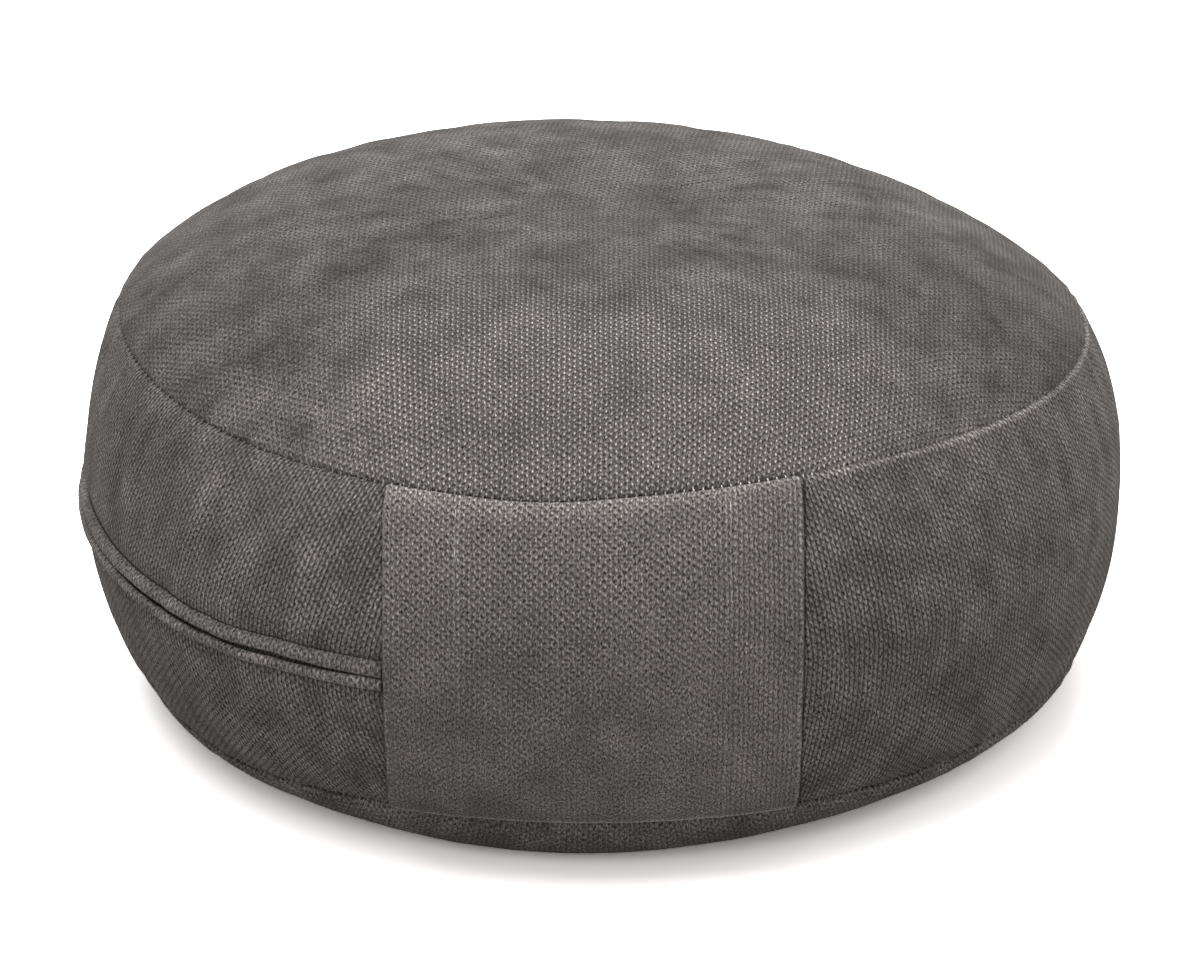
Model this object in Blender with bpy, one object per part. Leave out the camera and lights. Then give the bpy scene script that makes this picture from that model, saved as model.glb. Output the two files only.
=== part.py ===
"""A zafu meditation cushion, lying on its base: the filled body, the wide carrying handle sewn
over its front, and the two folded lips of the zip placket that runs round its left side.

Metres, +Z up. The origin is the middle of the flat base, and the handle faces -Y. A direction is
an angle in degrees, anticlockwise from +X seen from above, so the front is -90 and the left is 180.
"""

import math
from collections import namedtuple

import bmesh
import bpy
from mathutils import Vector

# A filled cushion is never quite round: a wave swells a ring by `swell` at each of its `lobes`,
# the first of which points `toward` a direction.
Wave = namedtuple("Wave", "lobes swell toward")
# The stitching also lets a line fall here and there: by `fall` toward a direction, and less within
# about `spread` to each side of it. A fall below 0 lifts the line.
Dip = namedtuple("Dip", "fall toward spread")
Ring = namedtuple("Ring", "radius radius_waves height height_waves height_dips", defaults=((),))

# Driving dimensions: the four rings that the cloth runs through, from the floor up.
BASE = Ring(0.119, (Wave(1, 0.0015, -104), Wave(2, 0.0105, 87), Wave(3, 0.004, 21)), 0.0, ())
BOTTOM_SEAM = Ring(
    0.1515,
    (Wave(1, 0.0028, 13), Wave(2, 0.001, 3), Wave(3, 0.0014, 8)),
    0.0145,
    (Wave(1, 0.0007, -9), Wave(2, 0.0023, -75), Wave(3, 0.0012, 11)),
    (Dip(0.0017, 223, 14),),
)
BELLY = Ring(
    0.1646,
    (Wave(1, 0.0008, 0), Wave(2, 0.0005, 63), Wave(3, 0.0008, 0)),
    0.065,
    (Wave(1, 0.0007, 28),),
)
TOP_SEAM = Ring(
    0.1475,
    (Wave(1, 0.001, 114), Wave(2, 0.005, -10), Wave(3, 0.0016, 7)),
    0.119,
    (Wave(1, 0.0017, 195), Wave(2, 0.0011, -65), Wave(3, 0.0012, -52)),
    (Dip(0.00125, 263, 9), Dip(-0.0011, 305, 24), Dip(-0.0004, 236, 8)),
)
CROWN_HEIGHT = 0.152
CROWN_MIDDLE = Vector((-0.008, 0.0025, 0))
CROWN_FULLNESS = 3.9  # how late the crown turns down towards its seam
UPPER_SIDE_FULLNESS = 2.4
LOWER_SIDE_FULLNESS = 2.25

SEAM_DRAW = 0.0015  # how far the stitching pulls each seam in
SEAM_REACH = 0.004  # how far from the stitching the cloth is pulled

# The zip placket: a slit at half height, from the handle's left edge round to the left rear.
SLIT_HEIGHT = 0.0695
SLIT_WAVE = Wave(1, 0.0066, 0)
SLIT_DIPS = (Dip(0.0012, 226, 7), Dip(-0.0009, 198, 10))
PLACKET_END = 115  # direction of its rear end
CHANNEL_DEPTH = 0.002
CHANNEL_HALF = 0.002
CHANNEL_FADE = 6  # degrees over which the channel dies out past the placket

# Sections of the placket's lips, each as (rise above the slit, stand off the side), outer face
# from the slit to the sewn edge, then inner face back.
Corner = namedtuple("Corner", "rise proud")
FLAP_SECTION = (
    Corner(0.0004, 0.0012),
    Corner(0.0011, 0.0021),
    Corner(0.0026, 0.0023),
    Corner(0.0054, 0.0012),
    Corner(0.0054, 0.0004),
    Corner(0.0036, 0.0004),
    Corner(0.0022, 0.0004),
    Corner(0.0007, 0.0004),
)
WELT_SECTION = (
    Corner(-0.0004, 0.0013),
    Corner(-0.0010, 0.0021),
    Corner(-0.0022, 0.0022),
    Corner(-0.0036, 0.0014),
    Corner(-0.0036, 0.0004),
    Corner(-0.0026, 0.0004),
    Corner(-0.0016, 0.0004),
    Corner(-0.0007, 0.0004),
)

# The handle: a strip folded double, sewn into both seams over the middle of the front.
HANDLE_WIDTH = 0.1212
HANDLE_MIDDLE = -0.0014
HANDLE_THICK = 0.0024
HANDLE_PINCHED = 0.0014  # where the seams hold its ends
HANDLE_END_REACH = 0.008
HANDLE_GAP = 0.0005
# Its rounded side edges, each corner as (in from the edge, below the face)
Round = namedtuple("Round", "inward below")
HANDLE_EDGE = (Round(0.0004, 0.0004), Round(0.0012, 0.0))
HANDLE_FACE_START = 0.0024  # how far in from the edge the even spacing of its columns starts
SEWN_IN = 0.0012  # how far short of each seam its built ends stop
TUCK = 0.0006  # clear space between the placket's front end and the handle

# How finely the solids are faceted
SEGMENTS = 80
UNDERSIDE_STEPS = 4
SIDE_STEPS = 6
CROWN_STOPS = (0.94, 0.87, 0.78, 0.67, 0.54, 0.4, 0.24, 0.1)
PLACKET_SEGMENTS = 42
HANDLE_COLUMNS = 12
HANDLE_ROWS = 16

TAUPE = (0.125, 0.108, 0.098, 1)
DARK_TAUPE = (0.105, 0.091, 0.083, 1)
CLOTH_ROUGHNESS = 0.92
CREASE_ANGLE = math.radians(50)


def smooth(t):
    """0 below 0, 1 above 1, and an even ease between."""
    t = min(max(t, 0), 1)
    return t * t * (3 - 2 * t)


def with_waves(mean, waves, angle):
    return mean + sum(w.swell * math.cos(w.lobes * (angle - math.radians(w.toward))) for w in waves)


def fallen(dips, angle):
    """How far a line has fallen in one direction."""
    fall = 0
    for dip in dips:
        turn = (math.degrees(angle) - dip.toward + 180) % 360 - 180
        fall += dip.fall * math.exp(-((turn / dip.spread) ** 2))
    return fall


def radius_of(ring, angle):
    return with_waves(ring.radius, ring.radius_waves, angle)


def height_of(ring, angle):
    return with_waves(ring.height, ring.height_waves, angle) - fallen(ring.height_dips, angle)


def polar(radius, angle, height):
    return Vector((radius * math.cos(angle), radius * math.sin(angle), height))


def slit_height(angle):
    return with_waves(SLIT_HEIGHT, (SLIT_WAVE,), angle) - fallen(SLIT_DIPS, angle)


def side_radius(angle, height):
    """The side's radius: fullest at the belly, falling away to the seam above and the one below."""
    belly, belly_height = radius_of(BELLY, angle), height_of(BELLY, angle)
    seam, fullness = (
        (TOP_SEAM, UPPER_SIDE_FULLNESS)
        if height > belly_height
        else (BOTTOM_SEAM, LOWER_SIDE_FULLNESS)
    )
    way = (height - belly_height) / (height_of(seam, angle) - belly_height)
    return belly - (belly - radius_of(seam, angle)) * min(max(way, 0), 1) ** fullness


def side_point(angle, height, proud=0.0):
    """A point on the side, or `proud` of it along the way that the cloth faces."""
    step = 0.0005
    radius = side_radius(angle, height)
    slope = (side_radius(angle, height + step) - side_radius(angle, height - step)) / (2 * step)
    outward = Vector((1, -slope)).normalized() * proud
    return polar(radius + outward.x, angle, height + outward.y)


def angle_at(x, height):
    """The direction at which the front of the side is at this x."""
    angle = -math.pi / 2
    for _ in range(6):
        angle = -math.acos(x / side_radius(angle, height))
    return angle


def mix(start, end, steps):
    """Even steps from start to end, with both ends."""
    return [start + (end - start) * i / steps for i in range(steps + 1)]


def cloth(name, colour):
    material = bpy.data.materials.new(name)
    material.use_nodes = True
    shader = material.node_tree.nodes["Principled BSDF"]
    shader.inputs["Base Color"].default_value = colour
    shader.inputs["Roughness"].default_value = CLOTH_ROUGHNESS
    shader.inputs["Metallic"].default_value = 0
    return material


def fan_cap(bm, loop):
    """Closes a round loop with faces that meet at its middle."""
    bmesh.ops.poke(bm, faces=[bm.faces.new(loop)])


def ladder_cap(bm, loop):
    """Closes a thin loop with a row of faces from its outer side to its inner side."""
    half = len(loop) // 2
    outer, inner = loop[:half], loop[: half - 1 : -1]
    for i in range(half - 1):
        bm.faces.new((outer[i], outer[i + 1], inner[i + 1], inner[i]))


def loft(name, sections, cap, material):
    """A closed solid through loops of the same number of points, with a cap on each end."""
    bm = bmesh.new()
    loops = [[bm.verts.new(point) for point in section] for section in sections]
    for lower, upper in zip(loops, loops[1:]):
        for i in range(len(lower)):
            j = (i + 1) % len(lower)
            bm.faces.new((lower[i], lower[j], upper[j], upper[i]))
    cap(bm, loops[0])
    cap(bm, loops[-1])
    bmesh.ops.recalc_face_normals(bm, faces=bm.faces)
    mesh = bpy.data.meshes.new(name)
    bm.to_mesh(mesh)
    bm.free()
    mesh.shade_smooth()
    mesh.set_sharp_from_angle(angle=CREASE_ANGLE)
    mesh.materials.append(material)
    solid = bpy.data.objects.new(name, mesh)
    bpy.context.scene.collection.objects.link(solid)
    return solid


def channel_depth(angle):
    """Depth of the channel under the placket's slit: none past its two ends."""
    front = math.degrees(angle_at(HANDLE_MIDDLE - HANDLE_WIDTH / 2, SLIT_HEIGHT)) % 360
    turn = math.degrees(angle) % 360
    inside = min(turn - PLACKET_END, front - turn)
    return CHANNEL_DEPTH * smooth(inside / CHANNEL_FADE)


def crown_point(angle, way_out):
    """A point of the top panel, from 0 at its crown to 1 at the top seam."""
    seam = height_of(TOP_SEAM, angle)
    radius = radius_of(TOP_SEAM, angle) * way_out
    rise = (CROWN_HEIGHT - TOP_SEAM.height) * (1 - way_out**CROWN_FULLNESS)
    height = TOP_SEAM.height + (seam - TOP_SEAM.height) * way_out + rise
    return polar(radius, angle, height) + CROWN_MIDDLE * (1 - way_out)


def body_profile(angle):
    """The body's outline in one direction, from the edge of its flat base up to its crown."""
    base, bottom = radius_of(BASE, angle), radius_of(BOTTOM_SEAM, angle)
    bottom_height, top_height = height_of(BOTTOM_SEAM, angle), height_of(TOP_SEAM, angle)
    slit = slit_height(angle)
    points = []
    for turn in mix(0, math.pi / 2, UNDERSIDE_STEPS)[:-1]:
        radius = base + (bottom - base) * math.sin(turn)
        points.append(polar(radius, angle, bottom_height * (1 - math.cos(turn))))
    points.append(polar(bottom - SEAM_DRAW, angle, bottom_height))
    for height in mix(bottom_height + SEAM_REACH, slit - 2 * CHANNEL_HALF, SIDE_STEPS):
        points.append(side_point(angle, height))
    for height in (slit - CHANNEL_HALF / 2, slit + CHANNEL_HALF / 2):
        points.append(side_point(angle, height, -channel_depth(angle)))
    for height in mix(slit + 2 * CHANNEL_HALF, top_height - SEAM_REACH, SIDE_STEPS):
        points.append(side_point(angle, height))
    drawn_in = math.sqrt(0.5) * SEAM_DRAW
    points.append(polar(radius_of(TOP_SEAM, angle) - drawn_in, angle, top_height - drawn_in))
    seam_radius = radius_of(TOP_SEAM, angle)
    points.append(crown_point(angle, 1 - SEAM_REACH / seam_radius))
    points.extend(crown_point(angle, stop) for stop in CROWN_STOPS)
    return points


def build_body(material):
    directions = [2 * math.pi * i / SEGMENTS for i in range(SEGMENTS)]
    rings = zip(*(body_profile(angle) for angle in directions))
    return loft("cushion", list(rings), fan_cap, material)


def build_lip(name, section, material):
    """One folded lip of the placket, from beside the handle round to the left rear."""
    edge = HANDLE_MIDDLE - HANDLE_WIDTH / 2 - TUCK
    front = angle_at(edge, SLIT_HEIGHT) % (2 * math.pi)
    sections = []
    for angle in mix(front, math.radians(PLACKET_END), PLACKET_SEGMENTS):
        slit = slit_height(angle)
        sections.append([side_point(angle, slit + c.rise, c.proud) for c in section])
    return loft(name, sections, ladder_cap, material)


def handle_section(way_up):
    """The handle's cross-section at a height: outer face left to right, then inner face back."""
    length = TOP_SEAM.height - BOTTOM_SEAM.height
    from_end = min(way_up, 1 - way_up) * length
    thick = HANDLE_PINCHED + (HANDLE_THICK - HANDLE_PINCHED) * smooth(from_end / HANDLE_END_REACH)
    half = HANDLE_WIDTH / 2
    face = half - HANDLE_FACE_START
    right = [(half - corner.inward, corner.below) for corner in reversed(HANDLE_EDGE)]
    left = [(-x, below) for x, below in reversed(right)]
    across = left + [(x, 0.0) for x in mix(-face, face, HANDLE_COLUMNS)] + right

    def place(x, proud):
        x += HANDLE_MIDDLE
        height = TOP_SEAM.height
        for _ in range(3):
            angle = angle_at(x, height)
            low = height_of(BOTTOM_SEAM, angle) + SEWN_IN
            high = height_of(TOP_SEAM, angle) - SEWN_IN
            height = low + (high - low) * way_up
        return side_point(angle, height, proud)

    outer = [place(x, HANDLE_GAP + thick - below) for x, below in across]
    inner = [place(x, HANDLE_GAP + below) for x, below in across]
    return outer + inner[::-1]


def build_handle(material):
    sections = [handle_section(way_up) for way_up in mix(0, 1, HANDLE_ROWS)]
    return loft("handle", sections, ladder_cap, material)


def main():
    for old in list(bpy.data.objects):
        bpy.data.objects.remove(old)
    body_cloth = cloth("body_cloth", TAUPE)
    placket_cloth = cloth("placket_cloth", TAUPE)
    handle_cloth = cloth("handle_cloth", DARK_TAUPE)
    build_body(body_cloth)
    build_lip("zip_flap", FLAP_SECTION, placket_cloth)
    build_lip("zip_welt", WELT_SECTION, placket_cloth)
    build_handle(handle_cloth)


main()
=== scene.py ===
"""The looks of a zafu meditation cushion: its sewn cloth cover, handle, zip placket and threads.

Metres, +Z up. The origin is the middle of the flat base, and the handle faces -Y. A direction is
an angle in radians, anticlockwise from +X seen from above, so the front is -pi/2.
"""

import math
from collections import namedtuple

import bpy
import numpy as np
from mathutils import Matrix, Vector
from mathutils.kdtree import KDTree


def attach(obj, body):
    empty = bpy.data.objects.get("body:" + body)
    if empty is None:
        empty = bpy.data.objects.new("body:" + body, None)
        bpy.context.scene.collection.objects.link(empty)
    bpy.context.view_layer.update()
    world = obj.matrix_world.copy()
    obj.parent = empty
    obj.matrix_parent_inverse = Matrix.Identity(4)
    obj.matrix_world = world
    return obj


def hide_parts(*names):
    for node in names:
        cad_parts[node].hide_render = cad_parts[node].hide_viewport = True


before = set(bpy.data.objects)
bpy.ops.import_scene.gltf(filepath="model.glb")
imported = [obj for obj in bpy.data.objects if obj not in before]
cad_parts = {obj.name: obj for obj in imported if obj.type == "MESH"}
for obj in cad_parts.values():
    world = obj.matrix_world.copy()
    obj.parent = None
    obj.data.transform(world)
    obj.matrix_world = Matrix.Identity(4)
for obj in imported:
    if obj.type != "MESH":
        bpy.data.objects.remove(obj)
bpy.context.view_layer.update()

MM = 0.001

# ---- The cushion's dimensions, as the built part has them ----

# A wave swells a ring by `swell` at each of its `lobes`, the first of them `toward` a direction.
Wave = namedtuple("Wave", "lobes swell toward")
# The stitching also lets a line fall by `fall` toward a direction, and less within about `spread`
# degrees to each side of it. A fall below 0 lifts the line.
Dip = namedtuple("Dip", "fall toward spread")
Ring = namedtuple("Ring", "radius radius_waves height height_waves height_dips", defaults=((),))

BASE = Ring(0.119, (Wave(1, 0.0015, -104), Wave(2, 0.0105, 87), Wave(3, 0.004, 21)), 0.0, ())
BOTTOM_SEAM = Ring(
    0.1515,
    (Wave(1, 0.0028, 13), Wave(2, 0.001, 3), Wave(3, 0.0014, 8)),
    0.0145,
    (Wave(1, 0.0007, -9), Wave(2, 0.0023, -75), Wave(3, 0.0012, 11)),
    (Dip(0.0017, 223, 14),),
)
BELLY = Ring(
    0.1646,
    (Wave(1, 0.0008, 0), Wave(2, 0.0005, 63), Wave(3, 0.0008, 0)),
    0.065,
    (Wave(1, 0.0007, 28),),
)
TOP_SEAM = Ring(
    0.1475,
    (Wave(1, 0.001, 114), Wave(2, 0.005, -10), Wave(3, 0.0016, 7)),
    0.119,
    (Wave(1, 0.0017, 195), Wave(2, 0.0011, -65), Wave(3, 0.0012, -52)),
    (Dip(0.00125, 263, 9), Dip(-0.0011, 305, 24), Dip(-0.0004, 236, 8)),
)
CROWN_HEIGHT = 0.152
CROWN_MIDDLE = np.array((-0.008, 0.0025, 0.0))
CROWN_FULLNESS = 3.9
UPPER_SIDE_FULLNESS = 2.4
LOWER_SIDE_FULLNESS = 2.25

SLIT_HEIGHT = 0.0695
SLIT_WAVE = Wave(1, 0.0066, 0)
SLIT_DIPS = (Dip(0.0012, 226, 7), Dip(-0.0009, 198, 10))
PLACKET_END = math.radians(115)

HANDLE_WIDTH = 0.1212
HANDLE_MIDDLE = -0.0014

# How the stitching draws the cloth in along a seam: a soft roll with a narrow crack in it
SEAM_DEPTH = 1.6 * MM
ROLL_DEPTH = 0.8 * MM
FLAT_ROLL_DEPTH = 0.12 * MM  # on the top panel, which runs nearly straight into its seam
ROLL_REACH = 4.6 * MM
CRACK_WIDTH = 0.4 * MM
JOIN_SHARE = 0.8  # how much of that the upright seam has, where the side band's ends are joined

# How the placket presses the side in across its slit, in mm: the beds of its two lips, with the
# zip's channel between them and a soft swelling above them
Press = namedtuple("Press", "rise depth")
LOWER_BED = (Press(-9, 0), Press(-7, 0.3), Press(-5.6, 0.8), Press(-4.6, 1.25), Press(-2.6, 0.9))
CHANNEL = (Press(-2, 3.2), Press(2, 3.2))
UPPER_BED = (Press(2.4, 1.15), Press(4.6, 1.25), Press(5.2, 0.75), Press(6.4, 0.4))
SWELLING_ABOVE = (Press(8.2, 0.15), Press(11, -0.35), Press(13.4, -0.1), Press(15.5, 0))
PLACKET_BED = LOWER_BED + CHANNEL + UPPER_BED + SWELLING_ABOVE
JOIN_FADE = 3 * MM  # below the top seam and above the bottom seam
FLATTER_FROM = 2 * MM  # past the top seam, where its puckers are half as deep on the top panel
BED_FADE = math.radians(3.5)  # past the placket's two ends

# Cloth
STITCH_PITCH = 2.9 * MM
COLUMN_PITCH = 1.6 * MM  # of the weave's columns
KNOT_PITCH = 2.4 * MM  # of the knots along a column

# How finely the pieces are meshed
EDGE_STOPS = np.array((0, 0.35, 0.8, 1.4, 2.2, 3.2, 4.6, 6.4)) * MM
LOWER_LIP_STOPS = np.array((0, 1.2, 2, 2.6, 3.5, 4.1, 4.6, 5.1, 5.6, 6.3, 7, 8, 9)) * MM
UPPER_BED_STOPS = (0, 1.2, 2, 2.4, 3.4, 4.2, 4.6, 5.2, 5.7, 6.4, 7.3, 8.2)
UPPER_LIP_STOPS = np.array((*UPPER_BED_STOPS, 9.6, 11, 12.2, 13.4, 15.5)) * MM
PLAIN_STOP = np.array((0,))
BODY_PITCH = 1.95 * MM
ROW_PITCH = 2.2 * MM
TOP_ROW_PITCH = 3.1 * MM
UNDERSIDE_PITCH = 6 * MM


# ---- The smooth shape that the cloth is sewn to ----


def ease(way):
    """0 below 0, 1 above 1, and an even ease between."""
    way = np.clip(way, 0, 1)
    return way * way * (3 - 2 * way)


def past(value, start, reach):
    """0 up to `start` mm, 1 from `reach` mm further on, and an even ease between."""
    return ease((value - start * MM) / (reach * MM))


def bell(away, width):
    """A soft bump: 1 where `away` is 0, and nearly nothing from twice `width`."""
    return np.exp(-((away / width) ** 2))


def with_waves(mean, waves, angle):
    swells = [w.swell * np.cos(w.lobes * (angle - math.radians(w.toward))) for w in waves]
    return mean + sum(swells) + 0 * angle


def turn_from(toward, angle):
    """How far a direction is turned from `toward`, both ways up to half a turn."""
    return (angle - toward + math.pi) % (2 * math.pi) - math.pi


def fallen(dips, angle):
    total = 0 * angle
    for dip in dips:
        away = turn_from(math.radians(dip.toward), angle)
        total = total + dip.fall * bell(away, math.radians(dip.spread))
    return total


def radius_of(ring, angle):
    return with_waves(ring.radius, ring.radius_waves, angle)


def height_of(ring, angle):
    return with_waves(ring.height, ring.height_waves, angle) - fallen(ring.height_dips, angle)


def slit_height(angle):
    return with_waves(SLIT_HEIGHT, (SLIT_WAVE,), angle) - fallen(SLIT_DIPS, angle)


def polar(radius, angle, height):
    return np.stack([radius * np.cos(angle), radius * np.sin(angle), height + 0 * angle], -1)


def side_radius(angle, height):
    """The side's radius: fullest at the belly, falling away to the seams above and below."""
    belly, belly_height = radius_of(BELLY, angle), height_of(BELLY, angle)
    above = height > belly_height
    seam = np.where(above, radius_of(TOP_SEAM, angle), radius_of(BOTTOM_SEAM, angle))
    seam_height = np.where(above, height_of(TOP_SEAM, angle), height_of(BOTTOM_SEAM, angle))
    fullness = np.where(above, UPPER_SIDE_FULLNESS, LOWER_SIDE_FULLNESS)
    way = np.clip((height - belly_height) / (seam_height - belly_height), 0, 1)
    return belly - (belly - seam) * way**fullness


def side_normal(angle, height):
    """The way straight out of the side."""
    step = 0.5 * MM
    slope = (side_radius(angle, height + step) - side_radius(angle, height - step)) / (2 * step)
    length = np.sqrt(1 + slope * slope)
    return polar(1 / length, angle, -slope / length)


def side_levels(angle):
    """The heights of the bottom seam, the slit and the top seam."""
    return height_of(BOTTOM_SEAM, angle), slit_height(angle), height_of(TOP_SEAM, angle)


def side_height(angle, way):
    """Height of a point of the side, from 0 at the bottom seam through 0.5 at the slit to 1."""
    low, slit, high = side_levels(angle)
    return np.where(way < 0.5, low + (slit - low) * 2 * way, slit + (high - slit) * (2 * way - 1))


def side_way(angle, height):
    """The way up the side, from 0 to 1, of a point at this height."""
    low, slit, high = side_levels(angle)
    below, above = (height - low) / (slit - low) / 2, 0.5 + (height - slit) / (high - slit) / 2
    return np.clip(np.where(height < slit, below, above), 0, 1)


def plain_side(angle, way):
    height = side_height(angle, way)
    return polar(side_radius(angle, height), angle, height)


def plain_top(angle, way):
    """The top panel, from 0 at its seam to 1 at its crown."""
    out = (1 - way) + 0 * angle
    seam = height_of(TOP_SEAM, angle)
    rise = (CROWN_HEIGHT - TOP_SEAM.height) * (1 - out**CROWN_FULLNESS)
    height = TOP_SEAM.height + (seam - TOP_SEAM.height) * out + rise
    aside = CROWN_MIDDLE * (1 - out)[..., None]
    return polar(radius_of(TOP_SEAM, angle) * out, angle, height) + aside


FLAT_SHARE = 0.72  # of the way from the bottom panel's middle to its seam


def plain_bottom(angle, way):
    """The bottom panel, from 0 at its middle, flat to FLAT_SHARE, and curving up to its seam."""
    base, seam = radius_of(BASE, angle), radius_of(BOTTOM_SEAM, angle)
    turn = np.clip((way - FLAT_SHARE) / (1 - FLAT_SHARE), 0, 1) * math.pi / 2
    flat = np.clip(way / FLAT_SHARE, 0, 1)
    radius = base * flat + (seam - base) * np.sin(turn)
    return polar(radius, angle, height_of(BOTTOM_SEAM, angle) * (1 - np.cos(turn)))


PLAIN = {"bottom": plain_bottom, "side": plain_side, "top": plain_top}


# ---- Wrinkles: the cover blown up as Blender's cloth, between seams that hold it ----

SIM_COLUMNS = 232
SIM_ROWS = {"bottom": 12, "side": 27, "top": 34}
SIM_FRAMES = 20
SIM_SETTINGS = {
    "quality": 5,
    "use_pressure": True,
    "uniform_pressure_force": 4,
    "shrink_min": -0.03,  # the cloth is that much longer than the shape that it was sewn to
    "bending_stiffness": 0.8,
}
WRINKLE_CAPS = {"bottom": 0.15 * MM, "side": 0.7 * MM, "top": 0.25 * MM}
WRINKLE_BLUR_TURNS = 22  # slower swellings are left out, as the smooth shape has them
SAME_POINT = 0.01 * MM
NEAR_FLOOR = 0.5 * MM
SEAM_ROWS = 2.5  # rows of the simulated cloth over which a wrinkle dies out towards a seam


def select_only(*pieces):
    """Selects these pieces and no other, and makes the first of them active."""
    bpy.ops.object.select_all(action="DESELECT")
    for piece in pieces:
        piece.select_set(True)
    bpy.context.view_layer.objects.active = pieces[0]


def new_object(name, data):
    item = bpy.data.objects.new(name, data)
    bpy.context.scene.collection.objects.link(item)
    return item


def cloth_cut(name, points):
    """A cut of cloth whose corners lie at these places, row by row, with its own UV map."""
    rows, columns = points.shape[0] - 1, points.shape[1] - 1
    bpy.ops.mesh.primitive_grid_add(x_subdivisions=columns, y_subdivisions=rows, size=1)
    cut = bpy.context.object
    cut.name = name
    cut.data.vertices.foreach_set("co", points.reshape(-1).astype(np.float32))
    cut.data.update()
    return cut


def join_and_sew(cuts, name, near):
    """Joins cuts into one closed skin, sewing together the points that meet."""
    select_only(*cuts)
    bpy.ops.object.join()
    bpy.ops.object.mode_set(mode="EDIT")
    bpy.ops.mesh.select_all(action="SELECT")
    bpy.ops.mesh.remove_doubles(threshold=near)
    bpy.ops.object.mode_set(mode="OBJECT")
    cuts[0].name = name
    return cuts[0]


def blurred(field, turns):
    """The slow part of a field over rows and columns; the columns run round in a ring."""
    for _ in range(turns):
        field = (np.roll(field, 1, 1) + 2 * field + np.roll(field, -1, 1)) / 4
        padded = np.concatenate([field[:1], field, field[-1:]])
        field = (padded[:-2] + 2 * field + padded[2:]) / 4
    return field


def blow_up(skin, seams):
    """How far pressure moves each point of the skin, held at its seams and on the floor."""
    before = np.array([v.co for v in skin.data.vertices])
    held = skin.vertex_groups.new(name="held")
    for vertex in skin.data.vertices:
        on_seam = np.abs(seams - np.array(vertex.co)).sum(1).min() < SAME_POINT
        if on_seam or vertex.co.z < NEAR_FLOOR:
            held.add([vertex.index], 1.0, "REPLACE")
    cloth = skin.modifiers.new("cloth", "CLOTH")
    for setting, value in SIM_SETTINGS.items():
        setattr(cloth.settings, setting, value)
    cloth.settings.vertex_group_mass = held.name
    cloth.settings.effector_weights.gravity = 0
    cloth.point_cache.frame_end = SIM_FRAMES
    for step in range(1, SIM_FRAMES + 1):
        bpy.context.scene.frame_set(step)
    bpy.ops.object.modifier_apply(modifier=cloth.name)
    moved = np.array([v.co for v in skin.data.vertices]) - before
    bpy.context.scene.frame_set(1)
    return before, moved


def settled_wrinkles():
    """The wrinkles of the sewn cover under pressure, panel by panel."""
    angles = PLACKET_END + np.linspace(0, 2 * math.pi, SIM_COLUMNS + 1)
    starts, cuts = {}, []
    for panel, rows in SIM_ROWS.items():
        ways = np.linspace(0, 1, rows + 1)
        starts[panel] = PLAIN[panel](angles[None, :], ways[:, None])
        cuts.append(cloth_cut("settling_" + panel, starts[panel]))
    skin = join_and_sew(cuts, "settling", 5 * SAME_POINT)
    before, moved = blow_up(skin, np.concatenate([starts["side"][0], starts["side"][-1]]))
    bpy.data.objects.remove(skin)
    tree = KDTree(len(before))
    for index, point in enumerate(before):
        tree.insert(point, index)
    tree.balance()
    fields = {}
    for panel, start in starts.items():
        nearest = [tree.find(point)[1] for point in start[:, :-1].reshape(-1, 3)]
        field = moved[nearest].reshape(start.shape[0], SIM_COLUMNS, 3)
        field = field - blurred(field, WRINKLE_BLUR_TURNS)
        size = np.linalg.norm(field, axis=2, keepdims=True) + 1e-9
        row = np.arange(len(field))
        inside = ease(np.minimum(row, row[-1] - row) / SEAM_ROWS)[:, None, None]
        cap = WRINKLE_CAPS[panel]
        fields[panel] = field / size * cap * np.tanh(size / (2 * cap)) * inside
    return fields


def cubic_weights(t):
    """Catmull-Rom weights of four neighbours, for a place t of the way between the middle two."""
    return (
        ((2 - t) * t - 1) * t / 2,
        ((3 * t - 5) * t * t + 2) / 2,
        ((4 - 3 * t) * t + 1) * t / 2,
        (t - 1) * t * t / 2,
    )


def read_field(field, angle, way):
    """The field's smooth value at a direction and a way across its panel."""
    rows, columns = field.shape[0] - 1, field.shape[1]
    column = (angle - PLACKET_END) / (2 * math.pi) * columns
    row = np.clip(way, 0, 1) * rows
    first_column = np.floor(column).astype(int)
    first_row = np.minimum(np.floor(row).astype(int), rows - 1)
    total = 0
    for i, across in enumerate(cubic_weights(column - first_column)):
        for j, along in enumerate(cubic_weights(row - first_row)):
            r = np.clip(first_row + j - 1, 0, rows)
            c = (first_column + i - 1) % columns
            total = total + (across * along)[..., None] * field[r, c]
    return total


WRINKLES = settled_wrinkles()


# ---- The cover's surface, with its seams drawn in ----


def rolled(distance, roll):
    """The soft roll of the cloth towards a seam, without the crack."""
    return roll * np.clip(1 - distance / ROLL_REACH, 0, 1) ** 2


def drawn(distance, roll=ROLL_DEPTH, deepest=SEAM_DEPTH):
    """How deep the stitching draws the cloth in, at a distance from the seam."""
    return rolled(distance, roll) + (deepest - roll) * np.exp(-distance / CRACK_WIDTH)


def right_front(angle, start, end):
    """1 past `end` on the right of the front, 0 before `start` and behind; both in degrees."""
    into = ease((angle % (2 * math.pi) - math.radians(start)) / math.radians(end - start))
    behind = np.abs(turn_from(math.radians(-20), angle)) - math.radians(38)
    return np.maximum(into, np.cos(angle) > 0.9) * (1 - ease(behind / math.radians(14)))


RIDGE_RISE = 0.4 * MM
RIDGE_FROM_SEAM = 1.3 * MM
RIDGE_WIDTH = 0.7 * MM
RIDGE_FOOT = 0.6 * MM


def ridged(angle):
    """1 where the cut edges inside the top seam lift the band's upper edge, and 0 elsewhere."""
    return right_front(angle, 291, 300)


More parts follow.
